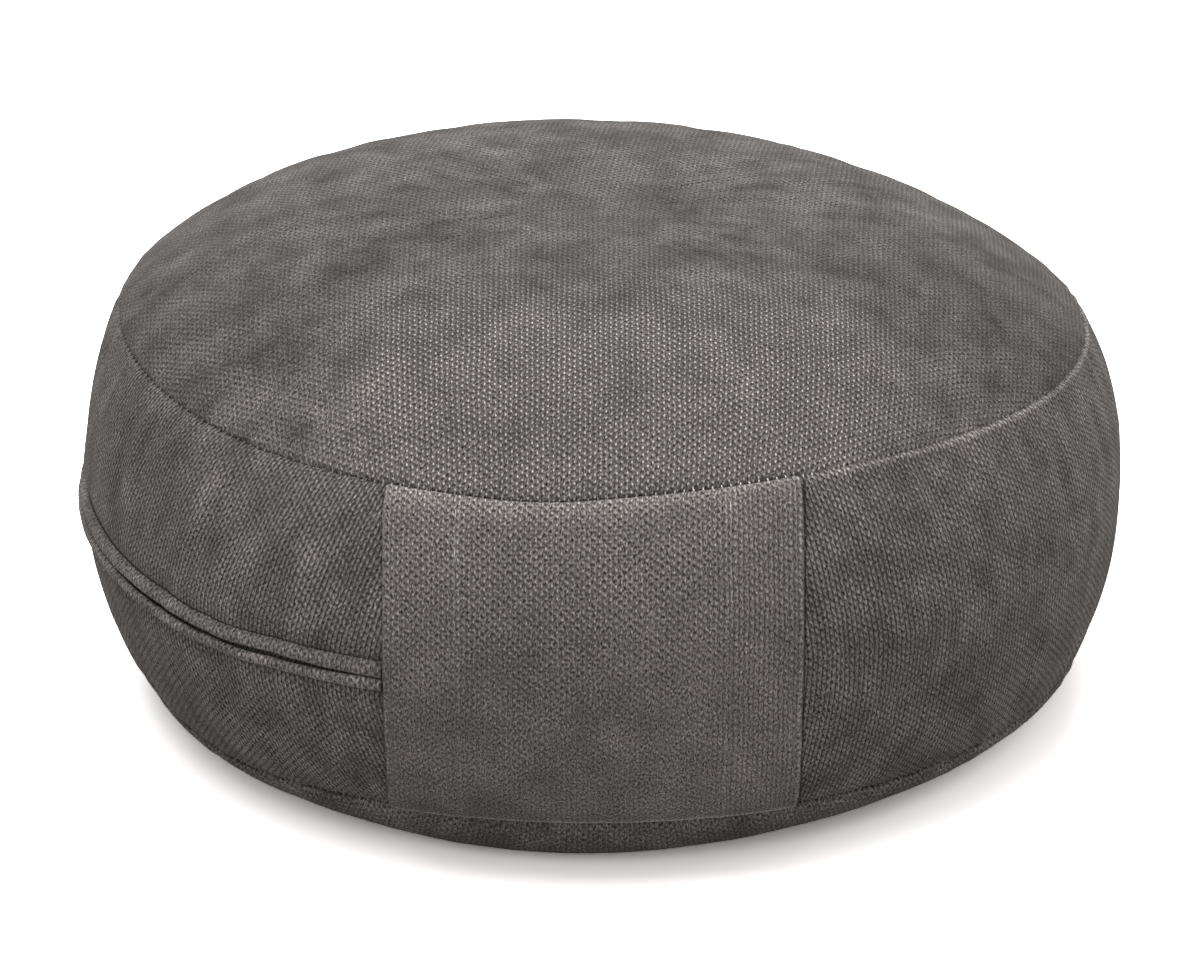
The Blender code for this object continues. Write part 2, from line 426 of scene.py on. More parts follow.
def top_pull(angle):
    """How hard the top seam's stitching pulls: less on the right of the front."""
    return 0.8 - 0.7 * right_front(angle, 270, 292)


def top_roll(angle):
    """How deep the side rolls into the top seam: less where its edge is ridged."""
    return ROLL_DEPTH * (1 - 0.6 * ridged(angle))


def top_deepest(angle):
    """How deep the top seam itself lies."""
    return top_roll(angle) + top_pull(angle) * (SEAM_DEPTH - top_roll(angle))


def top_ridge(angle, distance):
    """How far the ridge stands out, at a distance below the top seam."""
    lift = RIDGE_RISE * ridged(angle) * ease(distance / RIDGE_FOOT)
    return lift * bell(distance - RIDGE_FROM_SEAM, RIDGE_WIDTH)


def gathers(angle, seed, lobes):
    """Small uneven puckers round a seam, mostly between -1 and 1."""
    chance = np.random.default_rng(seed)
    total = 0
    for lobe in chance.integers(*lobes, size=GATHER_WAVES):
        total = total + np.cos(lobe * angle + chance.uniform(0, 2 * math.pi))
    return total * 2 / GATHER_WAVES


def outward(angle, rise):
    """The way out from a seam, `rise` upward for each 1 outward."""
    length = math.hypot(1, rise)
    return polar(1 / length + 0 * angle, angle, rise / length)


TOP_SEAM_RISE = 1.0
BOTTOM_SEAM_RISE = -0.35
GATHER_DEPTH = 0.32 * MM
GATHER_REACH = 7 * MM
GATHER_LOBES = (60, 105)
GATHER_WAVES = 9


def half_heights(angle):
    """The heights from the bottom seam to the slit and from there to the top seam."""
    low, slit, high = side_levels(angle)
    return slit - low, high - slit


def angle_at(x, height):
    """The direction at which the front of the side is at this x."""
    angle = np.full(np.shape(x), -math.pi / 2)
    for _ in range(6):
        angle = -np.arccos(x / side_radius(angle, height))
    return angle


def front_at(x):
    """The direction, from 0 to a full turn, at which the front has this x at the slit's height."""
    return float(angle_at(np.array(x), SLIT_HEIGHT) % (2 * math.pi))


def past_placket(angle):
    """How far a direction is beyond the nearer of the placket's two ends, below 0 between them."""
    turn = angle % (2 * math.pi)
    return np.maximum(PLACKET_END - turn, turn - front_at(HANDLE_MIDDLE - HANDLE_WIDTH / 2))


def placket_bed(angle, rise):
    """How deep the placket presses the side in."""
    rises, depths = np.array(PLACKET_BED).T * MM
    return (1 - ease(past_placket(angle) / BED_FADE)) * np.interp(rise, rises, depths)


def from_join(angle):
    """The distance round the side from the upright seam."""
    return BELLY.radius * np.abs(turn_from(PLACKET_END, angle))


def beside_handle(angle):
    """0 under the handle and 1 clear of it."""
    x = np.abs(BELLY.radius * np.cos(angle) - HANDLE_MIDDLE)
    return np.where(np.sin(angle) < 0, past(x - HANDLE_WIDTH / 2, 2, 8), 1)


def wrinkled(panel, angle, way):
    """A panel before its seams are drawn in; the handle and the placket lie on the side's."""
    return PLAIN[panel](angle, way) + read_field(WRINKLES[panel], angle, way)


def puckers(angle, distance, seed):
    """How deep the gathers of a seam press the cloth in; the handle holds it smooth."""
    depth = GATHER_DEPTH * gathers(angle, seed, GATHER_LOBES) * np.exp(-distance / GATHER_REACH)
    return depth * beside_handle(angle)


TOP_PUCKERS, BOTTOM_PUCKERS = 3, 5  # seeds
TOP_ARC_SHARE = 1.25  # the steep start of the top's curve, for each metre inward


def cover_side(angle, way):
    lower, upper = half_heights(angle)
    from_bottom = np.where(way < 0.5, 2 * way * lower, 1)
    from_top = np.where(way > 0.5, 2 * (1 - way) * upper, 1)
    rise = np.where(way < 0.5, (2 * way - 1) * lower, (2 * way - 1) * upper)
    depth_top = drawn(from_top, top_roll(angle), top_deepest(angle)) - top_ridge(angle, from_top)
    depth_top = depth_top + puckers(angle, from_top, TOP_PUCKERS)
    depth_bottom = drawn(from_bottom) + puckers(angle, from_bottom, BOTTOM_PUCKERS)
    join = JOIN_SHARE * ease(np.minimum(from_top, from_bottom) / JOIN_FADE)
    pressed = placket_bed(angle, rise) + join * drawn(from_join(angle))
    point = wrinkled("side", angle, way)
    point = point - depth_top[..., None] * outward(angle, TOP_SEAM_RISE)
    point = point - depth_bottom[..., None] * outward(angle, BOTTOM_SEAM_RISE)
    return point - pressed[..., None] * side_normal(angle, side_height(angle, way))


def cover_top(angle, way):
    distance = way * radius_of(TOP_SEAM, angle) * TOP_ARC_SHARE
    flatter = 1 - 0.5 * ease(distance / FLATTER_FROM)
    depth = drawn(distance, FLAT_ROLL_DEPTH, top_deepest(angle))
    depth = depth + flatter * puckers(angle, distance, TOP_PUCKERS)
    return wrinkled("top", angle, way) - depth[..., None] * outward(angle, TOP_SEAM_RISE)


def cover_bottom(angle, way):
    distance = (1 - way) * radius_of(BOTTOM_SEAM, angle)
    depth = drawn(distance) + puckers(angle, distance, BOTTOM_PUCKERS)
    depth = depth * ease(3 * (way - FLAT_SHARE) / (1 - FLAT_SHARE))
    point = wrinkled("bottom", angle, way) - depth[..., None] * outward(angle, BOTTOM_SEAM_RISE)
    point[..., 2] = np.maximum(point[..., 2], 0)
    return point


def stops(lengths, pitch, start=EDGE_STOPS, end=EDGE_STOPS):
    """Places from 0 to 1 along each of the lengths, closer together near its two ends."""
    middles = lengths - start[-1] - end[-1]
    count = max(2, round(np.mean(middles) / pitch))
    evenly = np.linspace(0, 1, count + 1)[1:-1, None]
    rows = [start[:, None] + 0 * lengths, start[-1] + evenly * middles, lengths - end[::-1, None]]
    return np.concatenate(rows) / lengths


def arc_lengths(points):
    """Lengths along the cloth from the first row to each row."""
    steps = np.linalg.norm(np.diff(points, axis=0), axis=2)
    return np.concatenate([np.zeros((1, points.shape[1])), np.cumsum(steps, axis=0)])


def set_map(cut, across, along):
    """Gives each corner its place on the flat cloth, in metres."""
    corners = np.zeros(len(cut.data.loops), int)
    cut.data.loops.foreach_get("vertex_index", corners)
    flat = np.stack([across.reshape(-1)[corners], along.reshape(-1)[corners]], -1)
    layer = cut.data.uv_layers.active or cut.data.uv_layers.new()
    layer.name = "cloth"
    layer.uv.foreach_set("vector", flat.reshape(-1).astype(np.float32))


def set_value(cut, name, values):
    layer = cut.data.attributes.new(name, "FLOAT", "POINT")
    layer.data.foreach_set("value", values.reshape(-1).astype(np.float32))


# How the weave looks at a place: how strong a painted glint its bright flecks carry, how open its
# gaps, how clear the grooves between its columns, how its knots lean over, and the painted light
# and shade laid over its colour
Look = namedtuple("Look", "bare open ribs lean tone")


def set_look(cut, points, look):
    for name, values in look._asdict().items():
        set_value(cut, name, values + 0 * points[..., 0])


def top_look(points):
    """Painted glints on the front half's flecks; painted shade from the front to the middle, less
    at the back.
    """
    x, y, _ = np.moveaxis(points, -1, 0)
    forward, behind, painted_shade_back = past(-y, 28, 72), past(y, -30, 70), past(y, -140, 100)
    aside = past(np.abs(x - 8 * MM), 58, 42)
    return Look(
        bare=0.06 + 0.94 * forward * (1 - 0.88 * aside),
        open=0.52 + 0.1 * behind,
        ribs=0.13 + 0.14 * past(x, 50, 50),
        lean=0.2,
        tone=0.98 - 0.42 * painted_shade_back + 0.1 * behind,
    )


def side_look(points):
    """Ribbed all round, with painted glints on the flecks only beside the handle; painted shade
    far left and low right.
    """
    x, _, z = np.moveaxis(points, -1, 0)
    left, far_left, right = past(-x, 62, 40), past(-x, 105, 40), past(x, 62, 40)
    high, low = past(z, 60, 40), past(-z, -60, 20)
    return Look(
        bare=0.05 + 0.3 * high * (1 - 0.8 * left) * (1 - 0.6 * right),
        open=0.45 - 0.05 * right + low * (0.1 + 0.2 * left),
        ribs=0.66 + 0.06 * left + low * (0.06 - 0.12 * left),
        lean=0.1 - 0.55 * past(x, 40, 30),
        tone=1.02 + high * (0.03 * right - 0.05 * left) - 0.05 * low * right - 0.1 * far_left,
    )


def handle_look(points):
    """Painted glints strongest near its top, more so on the left; the ribs clearest on its right;
    painted shade low on its left.
    """
    x, _, z = np.moveaxis(points, -1, 0)
    high, near_top = past(z, 50, 60), past(z, 85, 25)
    right, over_hem = past(x, -10, 60), past(x, 30, 10)
    return Look(
        bare=0.1 + 0.55 * high * (1 - 0.5 * right),
        open=(0.55 - 0.27 * (1 - high)) * (1 - 0.4 * over_hem),
        ribs=0.06 + 0.3 * over_hem,
        lean=0.05 - 0.3 * right,
        tone=1.03 - 0.17 * past(-x, -30, 60) * (1 - near_top),
    )


def lip_look(points):
    """Ribbed, with painted shade: darkest where the placket goes out of sight on the left."""
    tone = 0.96 + 0.16 * past(points[..., 0], -115, 40)
    return Look(bare=0.12, open=0.4, ribs=0.35, lean=0.3, tone=tone)


# The bottom panel is painted darker all over, as painted shade
BOTTOM_LOOK = Look(bare=0.05, open=0.4, ribs=0.25, lean=0, tone=0.85)

TOP_GRAIN_TURN = math.radians(3)
# How far the painted shade reaches out from a seam
SEAM_SHADE_WIDTH = 0.55 * MM
# The painted highlight along the ridge below the top seam: its width and how much lighter
RIDGE_HIGHLIGHT_WIDTH = 0.9 * MM
RIDGE_HIGHLIGHT = 2.2
UNDER_WELT = 4.35 * MM  # the painted shadow below the lower lip: how far down from the slit
UNDER_WELT_WIDTH = 1.1 * MM
UNDER_WELT_SHADE = 1.8

# The side band's cloth was cut a little askew: how far the weave's columns step aside for each
# metre up, above and below the placket's height, to each side of the handle
GrainLean = namedtuple("GrainLean", "toward above below")
GRAIN_LEANS = (GrainLean(210, -0.25, 0.24), GrainLean(330, 0.1, -0.06))
LEAN_REACH, LEAN_FADE = math.radians(48), math.radians(24)


def grain_shift(angle, above_slit):
    """How far the weave's columns have stepped aside at a distance above the slit."""
    shift = 0 * angle
    for grain in GRAIN_LEANS:
        away = np.abs(turn_from(math.radians(grain.toward), angle))
        lean = np.where(above_slit > 0, grain.above, grain.below)
        shift = shift + (1 - ease((away - LEAN_REACH) / LEAN_FADE)) * lean * above_slit
    return shift


def welt_shadow(angle, above_slit):
    """The painted shadow along the line where the side band meets the lower lip's edge."""
    shadow = UNDER_WELT_SHADE * bell(above_slit + UNDER_WELT, UNDER_WELT_WIDTH)
    return np.where(past_placket(angle) > 0, 0, shadow)


def build_body():
    """The filled cover: one closed skin of a bottom panel, a side band and a top panel."""
    girth = np.array([2 * math.pi * BELLY.radius])
    angle = PLACKET_END + 2 * math.pi * stops(girth, BODY_PITCH).T
    lower, upper = half_heights(angle)
    below = stops(lower, ROW_PITCH, end=LOWER_LIP_STOPS)
    above = stops(upper, ROW_PITCH, start=UPPER_LIP_STOPS)
    ways = {
        "bottom": stops(radius_of(BOTTOM_SEAM, angle), UNDERSIDE_PITCH, start=PLAIN_STOP),
        "side": np.concatenate([below / 2, 0.5 + above[1:] / 2]),
        "top": stops(radius_of(TOP_SEAM, angle) * TOP_ARC_SHARE, TOP_ROW_PITCH, end=PLAIN_STOP),
    }
    cover = {"bottom": cover_bottom, "side": cover_side, "top": cover_top}
    cuts = []
    for panel, way in ways.items():
        turn = angle + 0 * way
        points = cover[panel](turn, way)
        arc = arc_lengths(PLAIN[panel](turn, way))
        cut = cloth_cut("cut_" + panel, points)
        rim_highlight, beside, pull, shadow = 0 * arc, 0 * arc, 1, 0
        if panel == "side":
            above_slit, from_top = arc - arc[len(below) - 1], arc[-1] - arc
            set_map(cut, BELLY.radius * turn + grain_shift(turn, above_slit), arc)
            near = np.minimum(np.minimum(arc, from_top), from_join(turn))
            pull = np.where(near == from_top, top_pull(turn), 1)
            # A painted highlight along the ridge below the top seam
            rim_highlight = RIDGE_HIGHLIGHT * ridged(turn) * bell(from_top - RIDGE_FROM_SEAM, RIDGE_HIGHLIGHT_WIDTH)
            # 1 on the side band, where the painted shadow beside the handle falls
            beside = beside + 1
            shadow = welt_shadow(turn, above_slit)
            look = side_look(points)
        elif panel == "top":
            out = arc[-1] - arc
            set_map(cut, out * np.cos(turn + TOP_GRAIN_TURN), out * np.sin(turn + TOP_GRAIN_TURN))
            near, pull = arc, top_pull(turn)
            look = top_look(points)
        else:
            set_map(cut, arc * np.cos(turn), arc * np.sin(turn))
            near = arc[-1] - arc
            look = BOTTOM_LOOK
        # Painted shade along the seams, and on the side the painted shadow under the lower lip
        set_value(cut, "crease_shade", np.maximum(pull * np.exp(-near / SEAM_SHADE_WIDTH), shadow))
        set_value(cut, "rim_highlight", rim_highlight)
        set_value(cut, "beside", beside)
        set_look(cut, points, look)
        cuts.append(cut)
    body = join_and_sew(cuts, "cushion_cover", SAME_POINT)
    body.data.shade_smooth()
    return body


# ---- The handle: a strip with both sides folded under and stitched, sewn into both seams ----

HANDLE_WEAVE = 1.045  # the handle's cloth has that many more columns to the metre
HANDLE_CLOTH = 1.1 * MM
HANDLE_ENDS = 0.55  # share of that thickness left where the seams squeeze it
SQUEEZE_REACH = 8 * MM
HANDLE_GAP = 0.35 * MM
HANDLE_SUNK = 0.74  # share of the seams' depth that its two ends go in
LAYER_GAP = 0.06 * MM
HEM = 23.5 * MM
EDGE_STITCH = 2.4 * MM  # in from the folded edges
HEM_STITCH = 21.2 * MM
HEM_SLOPE = (1, 5)  # mm past the hem's stitching: where the face slopes down, and how far on
SETTLED_SHARE = 0.45  # how far the single middle sinks towards the cushion, between the hems
HANDLE_STITCH_PITCH = 3.1 * MM
NEEDLE_DENT = 0.32 * MM
DENT_WIDTH = 0.7 * MM
HANDLE_END = 0.25 * MM  # how far short of each seam it stops
HANDLE_SPAN = TOP_SEAM.height - BOTTOM_SEAM.height
HANDLE_ROW_PITCH = 1.1 * MM
HANDLE_COLUMN_PITCH = 1.5 * MM
FOLD_STEPS = 8
HEM_STEPS = 14
STITCH_LINE_STOPS = np.array((-1.6, -0.9, -0.45, 0, 0.45, 0.9, 1.6)) * MM
STITCH_LINE_CLEAR = 0.5 * MM  # no other column is that near to one of those
# How far in from each of the handle's ends its painted shade reaches
END_SHADE = 0.3 * MM
# Where the handle is painted lighter, as a highlight: how much, how far in from an edge or a line,
# and over what
EdgeHighlight = namedtuple("EdgeHighlight", "light middle width")
BOTTOM_HIGHLIGHT = EdgeHighlight(4.5, 0.9 * MM, 1.3 * MM)
FOLD_HIGHLIGHT = EdgeHighlight(0.75, 0, 1.3 * MM)
HEM_RIDGE_HIGHLIGHT = EdgeHighlight(0.4, 0.8 * MM, 0.8 * MM)
TOP_HIGHLIGHT, TOP_HIGHLIGHT_REACH = 1.4, 3.8 * MM
HEM_HIGHLIGHT = 0.16


def handle_profile():
    """Across the cut, from raw edge to raw edge: each column's x, its turn round the side fold
    (0 on the face, pi underneath) and 1 where that fold bulges out."""
    half = HANDLE_WIDTH / 2
    fold = (HANDLE_CLOTH + LAYER_GAP) / 2
    corner = half - HANDLE_CLOTH / 2 - fold
    hem = np.linspace(half - HEM, corner, HEM_STEPS)
    turns = np.linspace(0, math.pi, FOLD_STEPS + 1)[1:-1]
    lines = [
        side * (half - inward) + STITCH_LINE_STOPS
        for side in (-1, 1)
        for inward in (EDGE_STITCH, HEM_STITCH)
    ]
    evenly = np.linspace(-corner, corner, round(2 * corner / HANDLE_COLUMN_PITCH))
    clear = np.min([np.abs(evenly[:, None] - line).min(1) for line in lines], axis=0)
    face = np.sort(np.concatenate([evenly[clear > STITCH_LINE_CLEAR], *lines]))
    x = np.concatenate([-hem, -corner - 0 * turns, face, corner + 0 * turns, hem[::-1]])
    side = np.concatenate([0 * hem, -1 + 0 * turns, 0 * face, 1 + 0 * turns, 0 * hem])
    under = math.pi + 0 * hem
    turn = np.concatenate([under, turns[::-1], 0 * face, turns, under])
    return x, side, turn


def handle_levels(x, from_end, along):
    """Heights over the cushion of the cloth's middle, face and underneath, and its thickness."""
    squeeze = ease(from_end / SQUEEZE_REACH)
    thick = HANDLE_CLOTH * (HANDLE_ENDS + (1 - HANDLE_ENDS) * squeeze)
    under = HANDLE_GAP - HANDLE_SUNK * drawn(from_end) + thick / 2
    over = under + thick + LAYER_GAP
    in_from_edge = HANDLE_WIDTH / 2 - np.abs(x)
    middle = past(in_from_edge - HEM_STITCH, *HEM_SLOPE)
    face = over - SETTLED_SHARE * middle * (over - under)
    needle = 0.7 + 0.3 * np.cos(2 * math.pi * along / HANDLE_STITCH_PITCH)
    for line in (EDGE_STITCH, HEM_STITCH):
        face = face - NEEDLE_DENT * needle * bell(in_from_edge - line, DENT_WIDTH)
    return face, under, thick


def handle_places(x, way_up):
    """The cushion's surface under a point of the handle, and the way out there."""
    height = TOP_SEAM.height + 0 * x
    for _ in range(4):
        angle = angle_at(x + HANDLE_MIDDLE, height)
        low = height_of(BOTTOM_SEAM, angle) + HANDLE_END
        high = height_of(TOP_SEAM, angle) - HANDLE_END
        height = low + (high - low) * way_up
    return wrinkled("side", angle, side_way(angle, height)), side_normal(angle, height)


# A painted highlight: how much lighter at a distance from an edge or a line
def wear_and_highlight(away, highlight):
    return highlight.light * bell(away - highlight.middle, highlight.width)


def handle_highlights(x, along, turn):
    """How much lighter the handle's edges are painted, as a painted highlight: most along both
    ends, then down both folds and beside the hems' stitching, and a little over the doubled hems."""
    in_from_edge = HANDLE_WIDTH / 2 - np.abs(x)
    past_stitching = in_from_edge - HEM_STITCH
    top = TOP_HIGHLIGHT * bell(HANDLE_SPAN - along, TOP_HIGHLIGHT_REACH * (1 - 0.6 * past(x, -5, 60)))
    outside_fold = turn < 2
    edge = wear_and_highlight(in_from_edge, FOLD_HIGHLIGHT) * outside_fold
    hem = HEM_HIGHLIGHT * (1 - past(past_stitching, 0, 1.5))
    return top + wear_and_highlight(along, BOTTOM_HIGHLIGHT) + edge + hem + wear_and_highlight(past_stitching, HEM_RIDGE_HIGHLIGHT)


def build_handle():
    """The strip's middle layer, wrapped from hem to hem, and then its cloth's thickness."""
    x, side, turn = (values[None, :] for values in handle_profile())
    way_up = stops(np.array([HANDLE_SPAN]), HANDLE_ROW_PITCH)
    x, side, turn, way_up = np.broadcast_arrays(x, side, turn, way_up)
    along = way_up * HANDLE_SPAN
    from_end = np.minimum(along, HANDLE_SPAN - along)
    face, under, thick = handle_levels(x, from_end, along)
    bulge = (face - under) / 2
    level = under + bulge * (1 + np.cos(turn))
    surface, out = handle_places(x + side * bulge * np.sin(turn), way_up)
    points = surface + level[..., None] * out
    cut = cloth_cut("handle_strip", points)
    across = arc_lengths(points[points.shape[0] // 2][:, None])[:, 0]
    arc = arc_lengths(points)
    set_map(cut, HANDLE_WEAVE * across + 0 * arc, arc)
    # Painted shade at both ends, where the seams squeeze it, and painted highlights along its
    # edges
    set_value(cut, "crease_shade", np.exp(-from_end / END_SHADE))
    set_value(cut, "rim_highlight", handle_highlights(x, along, turn))
    set_look(cut, points, handle_look(points))
    add_thickness(cut, HANDLE_CLOTH, thick / HANDLE_CLOTH)
    return cut


def add_thickness(cut, thick, shares):
    """Gives the cut its cloth's thickness, half to each side, and of that each point's share."""
    select_only(cut)
    group = cut.vertex_groups.new(name="thickness")
    for index, share in enumerate(shares.reshape(-1)):
        group.add([index], float(share), "REPLACE")
    solidify = cut.modifiers.new("thickness", "SOLIDIFY")
    solidify.thickness = thick
    solidify.offset = 0
    solidify.use_even_offset = False
    solidify.vertex_group = group.name
    bpy.ops.object.modifier_apply(modifier=solidify.name)
    cut.data.shade_smooth()


# ---- The zip placket: two folded lips that meet over the zip ----

# A lip's section in mm, from its inner layer round the fold to its sewn edge, and the share of its
# cloth's thickness that is left there
Corner = namedtuple("Corner", "rise proud share")
LIP_CLOTH = 0.7 * MM
FLAP_SECTION = (
    (4.3, -0.5, 0.8), (3.2, -0.42, 1), (2, -0.3, 1), (1.15, -0.12, 1), (0.72, 0.28, 1),
    (0.74, 0.84, 1), (1.2, 1.26, 1), (2, 1.36, 1), (2.85, 1.18, 1), (3.5, 0.8, 1),
    (4.1, 0.28, 0.9), (4.5, -0.22, 0.6), (4.76, -0.62, 0.35),
)
WELT_SECTION = (
    (-3.1, -0.1, 0.8), (-2, -0.02, 1), (-1.25, 0.2, 1), (-0.8, 0.72, 1), (-0.8, 1.36, 1),
    (-1.25, 1.92, 1), (-2.05, 2.16, 1), (-2.9, 2, 1), (-3.5, 1.46, 1), (-3.72, 0.8, 0.9),
    (-3.62, 0.1, 0.7), (-3.55, -0.35, 0.5),
)
FLAP = [Corner._make(row) for row in FLAP_SECTION]
WELT = [Corner._make(row) for row in WELT_SECTION]
LIP_PITCH = 1.6 * MM
LIP_SHORT = 0.36 * MM  # of the handle's edge, where each lip stops
LIP_HIGHLIGHT = 0.3  # how much lighter a lip is painted where it stands out most, a painted highlight
SECTION_STEPS = 3  # faces between two corners of a section
GAPE = 0.55 * MM  # how much further each lip draws back where the slit gapes most
GAPE_CLOSED = 0.28 * MM  # and how much nearer it lies at the slit's ends
SEWN_FROM = 2.0 * MM  # how far from the slit a lip still gives way
# How unevenly a lip's edge runs along the slit, and how unevenly it stands out
Waver = namedtuple("Waver", "size lobes")
EDGE_WAVER = Waver(0.14 * MM, (10, 60))
PROUD_WAVER = Waver(0.12 * MM, (20, 90))
GAPE_TOWARD, GAPE_REACH, GAPE_FADE = math.radians(225), math.radians(12), math.radians(9)


def smooth_path(corners):
    """A smooth line through the corners, the cloth's share at each point and the length so far."""
    knots = np.array(corners) * (MM, MM, 1)
    ends = np.concatenate([[2 * knots[0] - knots[1]], knots, [2 * knots[-1] - knots[-2]]])
    points = [
        sum(w * ends[i + k] for k, w in enumerate(cubic_weights(t)))
        for i in range(len(knots) - 1)
        for t in np.linspace(0, 1, SECTION_STEPS + 1)[:-1]
    ]
    points = np.array(points + [knots[-1]])
    lengths = np.linalg.norm(np.diff(points[:, :2], axis=0), axis=1)
    return points[:, :2], points[:, 2], np.concatenate([[0], np.cumsum(lengths)])


def build_lip(name, corners, seed):
    """One lip: its section laid along the slit, from the join to the handle's edge."""
    section, shares, across = smooth_path(corners)
    front = front_at(HANDLE_MIDDLE - HANDLE_WIDTH / 2 - LIP_SHORT)
    length = BELLY.radius * (front - PLACKET_END)
    angle = np.linspace(PLACKET_END, front, round(length / LIP_PITCH))[None, :]
    gape = GAPE * (1 - ease((np.abs(angle - GAPE_TOWARD) - GAPE_REACH) / GAPE_FADE)) - GAPE_CLOSED
    away = np.abs(section[:, :1])
    loose = 1 - ease((away - SEWN_FROM) / (away.max() - SEWN_FROM))
    give = loose * (gape + EDGE_WAVER.size * gathers(angle, seed, EDGE_WAVER.lobes))
    rise = section[:, :1] + math.copysign(1, corners[0].rise) * give
    proud = section[:, 1:] + loose * PROUD_WAVER.size * gathers(angle, seed + 1, PROUD_WAVER.lobes)
    proud = proud - JOIN_SHARE * rolled(from_join(angle), ROLL_DEPTH)
    height = slit_height(angle) + rise
    turn = angle + 0 * height
    surface = wrinkled("side", turn, side_way(turn, height))
    points = surface + proud[..., None] * side_normal(turn, height)
    cut = cloth_cut(name, points)
    set_map(cut, BELLY.radius * turn, across[:, None] + 0 * turn)
    # A painted highlight where the lip stands out most
    set_value(cut, "rim_highlight", LIP_HIGHLIGHT * np.clip((proud / MM + 0.3) / 1.5, 0, 1))
    set_look(cut, points, lip_look(points))
    add_thickness(cut, LIP_CLOTH, shares[:, None] + 0 * turn)
    return cut


# ---- Threads ----

Stitch = namedtuple("Stitch", "middle along out length shine")
THREAD_WIDTH = 0.5 * MM
THREAD_SIDES, THREAD_RINGS = 8, 6
THREAD_DROOP = 0.5  # how much thinner a stitch is at its ends
# How much lighter the handle's stitches are painted, as a painted highlight: least, and how much
# more near the top at the edge and the hem
STITCH_SHINE, EDGE_SHINE, HEM_SHINE = 0.05, 0.12, 0.5
STITCHES_FROM, STITCHES_TO = 2.2 * MM, HANDLE_SPAN - 2.5 * MM
STITCH_SHARE = 0.86  # of its pitch that a stitch is long
STITCH_SINK = 0.1 * MM


def unit(vector):
    return np.array(vector) / np.linalg.norm(vector)


def build_stitches(name, stitches):
    """Many stitches as one piece: the first is modelled, and the others are its copies."""
    bpy.ops.mesh.primitive_uv_sphere_add(
        segments=THREAD_SIDES, ring_count=THREAD_RINGS, radius=0.5
    )
    first = bpy.context.object
    shape = np.array([v.co for v in first.data.vertices])
    faces = [tuple(p.vertices) for p in first.data.polygons]
    bpy.data.objects.remove(first)
    shape[:, 2] *= 1 - THREAD_DROOP * shape[:, 0] ** 2
    points, all_faces = [], []
    for number, stitch in enumerate(stitches):
        along = unit(stitch.along)
        across = unit(np.cross(stitch.out, along))
        out = np.cross(along, across)
        axes = np.stack([along * stitch.length, across * THREAD_WIDTH, out * THREAD_WIDTH])
        points.append(shape @ axes + stitch.middle)
        all_faces.extend(tuple(number * len(shape) + i for i in face) for face in faces)
    mesh = bpy.data.meshes.new(name)
    mesh.from_pydata(np.concatenate(points).tolist(), [], all_faces)
    threads = new_object(name, mesh)
    set_value(threads, "shine", np.repeat([stitch.shine for stitch in stitches], len(shape)))
    mesh.shade_smooth()
    return threads


def handle_stitches():
    """Topstitching beside each folded edge, and along each hem's inner edge."""
    chance = np.random.default_rng(11)
    found = []
    for side in (-1, 1):
        for inward in (EDGE_STITCH, HEM_STITCH):
            x = np.array(side * (HANDLE_WIDTH / 2 - inward))
            for start in np.arange(STITCHES_FROM, STITCHES_TO, HANDLE_STITCH_PITCH):
                ends = []
                for along in (start, start + HANDLE_STITCH_PITCH):
                    from_end = min(along, HANDLE_SPAN - along)
                    surface, out = handle_places(x, along / HANDLE_SPAN)
                    face, _, thick = handle_levels(x, from_end, along)
                    ends.append(surface + (face + thick / 2 - STITCH_SINK) * out)
                brightest = HEM_SHINE if inward == HEM_STITCH else EDGE_SHINE
                high = past(start - 0.55 * HANDLE_SPAN, 0, 30)
                shine = STITCH_SHINE + brightest * high * chance.uniform(0, 1)
                span = ends[1] - ends[0]
                length = STITCH_SHARE * np.linalg.norm(span)
                found.append(Stitch((ends[0] + ends[1]) / 2, span, out, length, shine))
    return found


SEAM_STITCH_LENGTH = 1.7 * MM
SEAM_STITCH_SINK = 1.0 * MM
# How much a seam's thread is lightened by painted highlight, where nothing more is given
PLAIN_SHINE = 0.2
SKEW = 0.35  # how far askew a seam's stitches may lie, for their length
HANDLE_STITCH_SINK = 0.2 * MM  # where the seam passes over the handle's end


def seam_stitches(ring, rise, shine, sink):
    """The thread that shows across the crack of a seam, all the way round."""
    chance = np.random.default_rng(7)
    count = round(2 * math.pi * ring.radius / STITCH_PITCH)
    found = []
    for angle in np.linspace(0, 2 * math.pi, count, endpoint=False):
        angle = np.array(angle)
        out = outward(angle, rise)
        middle = polar(radius_of(ring, angle), angle, height_of(ring, angle)) - sink(angle) * out
        sideways = np.array((-math.sin(angle), math.cos(angle), 0))
        along = np.cross(out, sideways) + chance.uniform(-SKEW, SKEW) * sideways
        light = shine(float(angle)) * chance.uniform(0.5, 1)
        found.append(Stitch(middle, along, out, SEAM_STITCH_LENGTH, light))
    return found


def top_shine(angle):
    """The thread is painted lighter, as a painted highlight, along the handle's right half and at
    its left corner.
    """
    x = TOP_SEAM.radius * math.cos(angle)
    if math.sin(angle) > 0:
        return PLAIN_SHINE
    right_half = past(x, 10, 20) * (1 - past(x, 64, 10))
    left_corner = bell(x + 62 * MM, 4 * MM)
    return PLAIN_SHINE + float(np.maximum(0.8 * right_half, 0.6 * left_corner))


def top_sink(angle):
    return HANDLE_STITCH_SINK + (SEAM_STITCH_SINK - HANDLE_STITCH_SINK) * beside_handle(angle)


# ---- Materials ----


